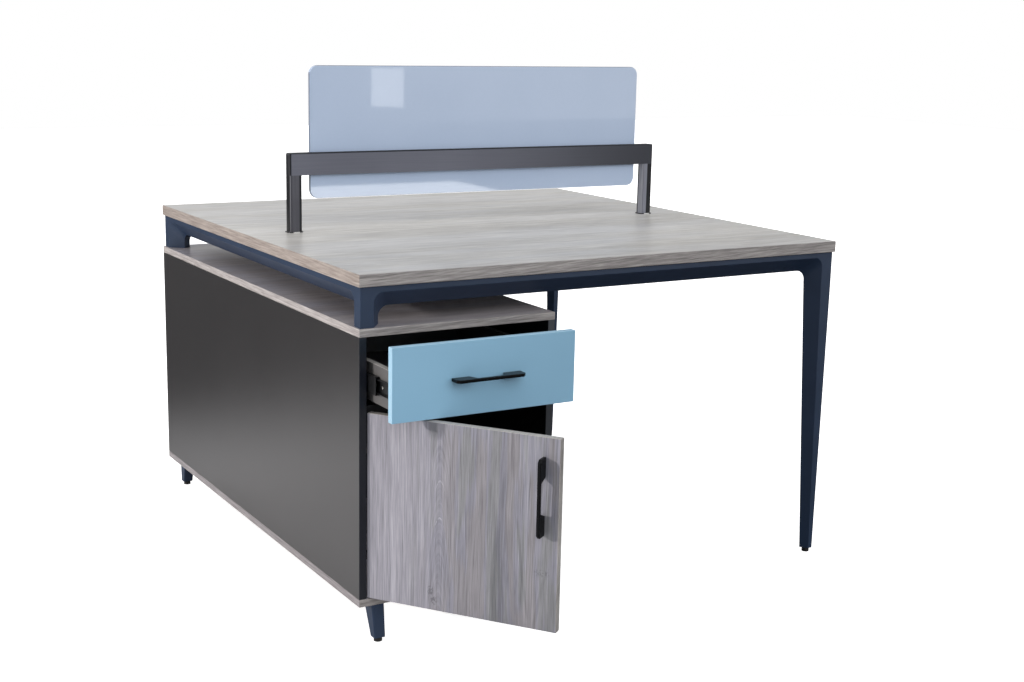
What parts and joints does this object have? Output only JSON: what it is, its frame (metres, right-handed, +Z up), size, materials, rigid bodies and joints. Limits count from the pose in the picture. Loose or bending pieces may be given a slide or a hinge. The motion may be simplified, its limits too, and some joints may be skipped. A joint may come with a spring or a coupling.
{
  "type": "cubicle workstation",
  "caption": "Face-to-face office desk on a slim steel frame with tapered legs, with a low translucent screen on a bridge and a side cabinet with drawers and hinged cupboards.",
  "frame": {"origin": "On the floor, at the centre of the bounding box in the pictured pose, with the front drawer and the front door partly open.", "axes": "+X runs along the desk from the cabinet side to the open side, +Y runs from the front user to the rear user, +Z up."},
  "size_m": [1.2, 1.5498, 1.123],
  "materials": {
    "desktop_wood": "Grey-beige oak-look melamine with fine straight grain, satin.",
    "door_wood": "Cool grey oak-look melamine with upright grain, satin.",
    "side_charcoal": "Charcoal melamine, satin.",
    "inner_black": "Black melamine, matte.",
    "drawer_blue": "Light blue lacquered board, satin.",
    "drawer_grey": "Light grey melamine, matte.",
    "frame_slate": "Slate navy powder coat, satin.",
    "bridge_anthracite": "Anthracite powder coat, satin.",
    "screen_translucent": "Blue-grey translucent acrylic, gloss.",
    "gasket_black": "Black rubber strip.",
    "handle_black": "Near-black satin coat.",
    "runner_black": "Black zinc coat, satin.",
    "hinge_nickel": "Nickel plated steel.",
    "glide_black": "Black plastic pad with a threaded stem."
  },
  "bodies": {
    "desk": {"desktop": "desktop_wood", "cabinet_top": "desktop_wood", "cabinet_bottom": "desktop_wood", "cabinet_side_left": "side_charcoal", "cabinet_side_right": "side_charcoal", "cabinet_partition": "inner_black", "cabinet_divider_front": "inner_black", "cabinet_divider_rear": "inner_black", "rail_front": "frame_slate", "rail_rear": "frame_slate", "rail_left": "frame_slate", "rail_right": "frame_slate", "rail_centre": "frame_slate", "desktop_tabs": "frame_slate", "leg_front_left": "frame_slate", "leg_rear_left": "frame_slate", "leg_front_right": "frame_slate", "leg_rear_right": "frame_slate", "cabinet_foot_front_left": "frame_slate", "cabinet_foot_front_right": "frame_slate", "cabinet_foot_rear_left": "frame_slate", "cabinet_foot_rear_right": "frame_slate", "screen_beam": "bridge_anthracite", "screen_post_left": "bridge_anthracite", "screen_post_right": "bridge_anthracite", "screen_post_flanges": "bridge_anthracite", "screen_panel": "screen_translucent", "screen_gaskets": "gasket_black", "front_runner_outer": "runner_black", "front_hinge_arms": "hinge_nickel", "rear_runner_outer": "runner_black", "rear_hinge_arms": "hinge_nickel"},
    "front_drawer": {"front_drawer_face": "drawer_blue", "front_drawer_handle": "handle_black", "front_drawer_sides": "drawer_grey", "front_drawer_inner_front": "drawer_grey", "front_drawer_back": "drawer_grey", "front_drawer_floor": "drawer_grey", "front_runner_inner": "runner_black"},
    "front_runners": {"front_runner_middle": "runner_black"},
    "front_door": {"front_door_panel": "door_wood", "front_door_handle": "handle_black", "front_hinge_cups": "hinge_nickel"},
    "rear_drawer": {"rear_drawer_face": "drawer_blue", "rear_drawer_handle": "handle_black", "rear_drawer_sides": "drawer_grey", "rear_drawer_inner_front": "drawer_grey", "rear_drawer_back": "drawer_grey", "rear_drawer_floor": "drawer_grey", "rear_runner_inner": "runner_black"},
    "rear_runners": {"rear_runner_middle": "runner_black"},
    "rear_door": {"rear_door_panel": "door_wood", "rear_door_handle": "handle_black", "rear_hinge_cups": "hinge_nickel"},
    "glide_leg_front": {"glide_leg_front": "glide_black"},
    "glide_leg_rear": {"glide_leg_rear": "glide_black"},
    "glide_cabinet_front_left": {"glide_cabinet_front_left": "glide_black"},
    "glide_cabinet_front_right": {"glide_cabinet_front_right": "glide_black"},
    "glide_cabinet_rear_left": {"glide_cabinet_rear_left": "glide_black"},
    "glide_cabinet_rear_right": {"glide_cabinet_rear_right": "glide_black"}
  },
  "joints": [
    {"name": "front_drawer_slide", "type": "slide", "parent": "desk", "child": "front_drawer", "axis": [0, -1, 0], "range_m": [-0.109, 0.341]},
    {"name": "front_runner_slide", "type": "slide", "parent": "desk", "child": "front_runners", "axis": [0, -1, 0], "range_m": [-0.0545, 0.1705]},
    {"name": "front_door_hinge", "type": "hinge", "parent": "desk", "child": "front_door", "pos_m": [-0.582, -0.44609, 0.28775], "axis": [0, 0, -1], "range_deg": [-54.2, 45.8]},
    {"name": "rear_drawer_slide", "type": "slide", "parent": "desk", "child": "rear_drawer", "axis": [0, 1, 0], "range_m": [0, 0.45]},
    {"name": "rear_runner_slide", "type": "slide", "parent": "desk", "child": "rear_runners", "axis": [0, 1, 0], "range_m": [0, 0.225]},
    {"name": "rear_door_hinge", "type": "hinge", "parent": "desk", "child": "rear_door", "pos_m": [-0.582, 0.74891, 0.28775], "axis": [0, 0, 1], "range_deg": [0, 100]},
    {"name": "glide_leg_front_thread", "type": "slide", "parent": "desk", "child": "glide_leg_front", "axis": [0, 0, -1], "range_m": [0, 0.012]},
    {"name": "glide_leg_rear_thread", "type": "slide", "parent": "desk", "child": "glide_leg_rear", "axis": [0, 0, -1], "range_m": [0, 0.012]},
    {"name": "glide_cabinet_front_left_thread", "type": "slide", "parent": "desk", "child": "glide_cabinet_front_left", "axis": [0, 0, -1], "range_m": [0, 0.012]},
    {"name": "glide_cabinet_front_right_thread", "type": "slide", "parent": "desk", "child": "glide_cabinet_front_right", "axis": [0, 0, -1], "range_m": [0, 0.012]},
    {"name": "glide_cabinet_rear_left_thread", "type": "slide", "parent": "desk", "child": "glide_cabinet_rear_left", "axis": [0, 0, -1], "range_m": [0, 0.012]},
    {"name": "glide_cabinet_rear_right_thread", "type": "slide", "parent": "desk", "child": "glide_cabinet_rear_right", "axis": [0, 0, -1], "range_m": [0, 0.012]}
  ],
  "couplings": [
    {"joint": "front_runner_slide", "follows": "front_drawer_slide", "ratio": 0.5},
    {"joint": "rear_runner_slide", "follows": "rear_drawer_slide", "ratio": 0.5}
  ]
}
